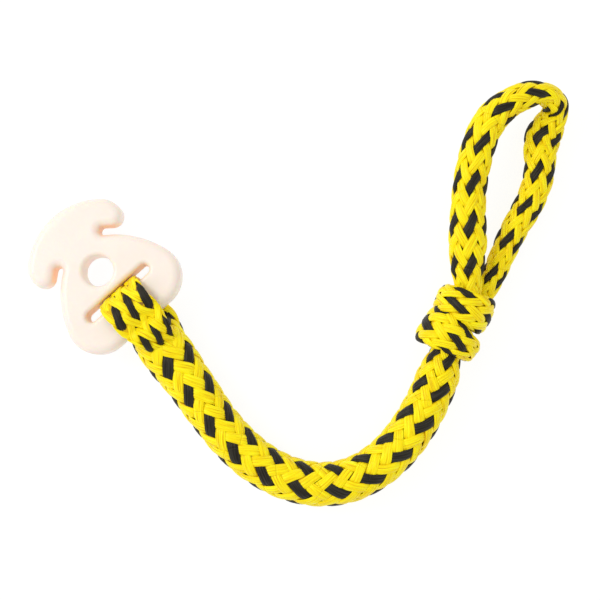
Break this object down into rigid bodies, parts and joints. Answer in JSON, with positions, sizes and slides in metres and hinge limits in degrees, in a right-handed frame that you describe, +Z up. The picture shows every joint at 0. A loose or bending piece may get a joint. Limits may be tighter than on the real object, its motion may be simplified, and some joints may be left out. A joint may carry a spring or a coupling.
{
  "type": "quick tow connector",
  "caption": "White moulded hook plate on a short, thick yellow and black braided tow rope, spliced to itself at the plate and ending in a knotted pull loop.",
  "frame": {"origin": "centre of the hook plate's tether hole, halfway through the plate, with the connector lying on the ground", "axes": "+Z up from the ground, +X from the hook plate towards the knot and loop, +Y towards the side the loop's end points to"},
  "size_m": [0.2972, 0.2329, 0.0356],
  "materials": {
    "hook_plastic": "smooth, slightly translucent cream-white moulding",
    "rope_yellow": "glossy flat-laid polyethylene strands, yellow with black tracers",
    "rope_core": "the same rope, hidden inside"
  },
  "bodies": {
    "eye": {"rope_eye_band": "rope_yellow", "rope_eye_upper_leg": "rope_yellow", "rope_eye_lower_leg": "rope_yellow", "rope_cover_1": "rope_yellow", "buried_tail_1": "rope_core"},
    "hook": {"hook_plate": "hook_plastic"},
    "rope_section_2": {"rope_cover_2": "rope_yellow", "buried_tail_2": "rope_core"},
    "rope_section_3": {"rope_cover_3": "rope_yellow", "buried_tail_3": "rope_core"},
    "rope_section_4": {"rope_cover_4": "rope_yellow", "buried_tail_4": "rope_core"},
    "rope_section_5": {"rope_cover_5": "rope_yellow", "buried_tail_5": "rope_core"},
    "rope_section_6": {"rope_cover_6": "rope_yellow", "buried_tail_6": "rope_core"},
    "rope_section_7": {"rope_cover_7": "rope_yellow", "buried_tail_7": "rope_core"},
    "rope_section_8": {"rope_cover_8": "rope_yellow", "buried_tail_8": "rope_core"},
    "knot": {"rope_cover_9": "rope_yellow", "buried_tail_9": "rope_core", "knot_first_turn": "rope_yellow", "knot_second_turn": "rope_yellow", "knot_core": "rope_core", "loop_left_root": "rope_yellow", "loop_right_root": "rope_yellow"},
    "loop_left_lower": {"loop_left_lower": "rope_yellow"},
    "loop_left_upper": {"loop_left_upper": "rope_yellow"},
    "loop_crown": {"loop_crown": "rope_yellow"},
    "loop_right_lower": {"loop_right_lower": "rope_yellow"},
    "loop_right_upper": {"loop_right_upper": "rope_yellow"}
  },
  "joints": [
    {"name": "hook_swing", "type": "hinge", "parent": "eye", "child": "hook", "pos_m": [0.01933, -0.02124, 0.00404], "axis": [0.7396, 0.673, 0], "range_deg": [-82, 115]},
    {"name": "rope_lift_1", "type": "hinge", "parent": "eye", "child": "rope_section_2", "pos_m": [0.05041, -0.06285, 0.00059], "axis": [-0.8387, -0.5446, 0], "range_deg": [-15, 15]},
    {"name": "rope_side_2", "type": "hinge", "parent": "rope_section_2", "child": "rope_section_3", "pos_m": [0.06574, -0.08433, 0.00059], "axis": [0, 0, 1], "range_deg": [-22, 8]},
    {"name": "rope_side_3", "type": "hinge", "parent": "rope_section_3", "child": "rope_section_4", "pos_m": [0.08436, -0.10296, 0.00059], "axis": [0, 0, 1], "range_deg": [-22, 8]},
    {"name": "rope_lift_4", "type": "hinge", "parent": "rope_section_4", "child": "rope_section_5", "pos_m": [0.10778, -0.11476, 0.00059], "axis": [-0.2672, -0.9636, 0], "range_deg": [-15, 15]},
    {"name": "rope_side_5", "type": "hinge", "parent": "rope_section_5", "child": "rope_section_6", "pos_m": [0.1339, -0.11533, 0.00059], "axis": [0, 0, 1], "range_deg": [-22, 8]},
    {"name": "rope_side_6", "type": "hinge", "parent": "rope_section_6", "child": "rope_section_7", "pos_m": [0.15688, -0.10298, 0.00059], "axis": [0, 0, 1], "range_deg": [-22, 8]},
    {"name": "rope_lift_7", "type": "hinge", "parent": "rope_section_7", "child": "rope_section_8", "pos_m": [0.17364, -0.08266, 0.00059], "axis": [0.8434, -0.5373, 0], "range_deg": [-15, 15]},
    {"name": "rope_side_8", "type": "hinge", "parent": "rope_section_8", "child": "knot", "pos_m": [0.18508, -0.05894, 0.00059], "axis": [0, 0, 1], "range_deg": [-22, 8]},
    {"name": "loop_open", "type": "hinge", "parent": "knot", "child": "loop_left_lower", "pos_m": [0.20095, 0.0022, 0.0073], "axis": [0, 0, 1], "range_deg": [-8, 8]},
    {"name": "loop_left_middle_bend", "type": "hinge", "parent": "loop_left_lower", "child": "loop_left_upper", "pos_m": [0.2015, 0.0428, 0.01025], "axis": [0, 0, 1], "range_deg": [-20, 20]},
    {"name": "loop_crown_bend", "type": "hinge", "parent": "loop_left_upper", "child": "loop_crown", "pos_m": [0.21559, 0.08024, 0.0141], "axis": [0, 0, 1], "range_deg": [-20, 20]},
    {"name": "loop_right_root_bend", "type": "hinge", "parent": "knot", "child": "loop_right_lower", "pos_m": [0.21818, 0.00187, -0.00217], "axis": [0, 0, 1], "range_deg": [-20, 20]},
    {"name": "loop_right_middle_bend", "type": "hinge", "parent": "loop_right_lower", "child": "loop_right_upper", "pos_m": [0.23484, 0.03496, -0.00263], "axis": [0, 0, 1], "range_deg": [-20, 20]}
  ],
  "couplings": [
    {"joint": "loop_left_middle_bend", "follows": "loop_open", "ratio": -1.692},
    {"joint": "loop_crown_bend", "follows": "loop_open", "ratio": 0.812},
    {"joint": "loop_right_root_bend", "follows": "loop_open", "ratio": -1},
    {"joint": "loop_right_middle_bend", "follows": "loop_open", "ratio": 2.339}
  ]
}
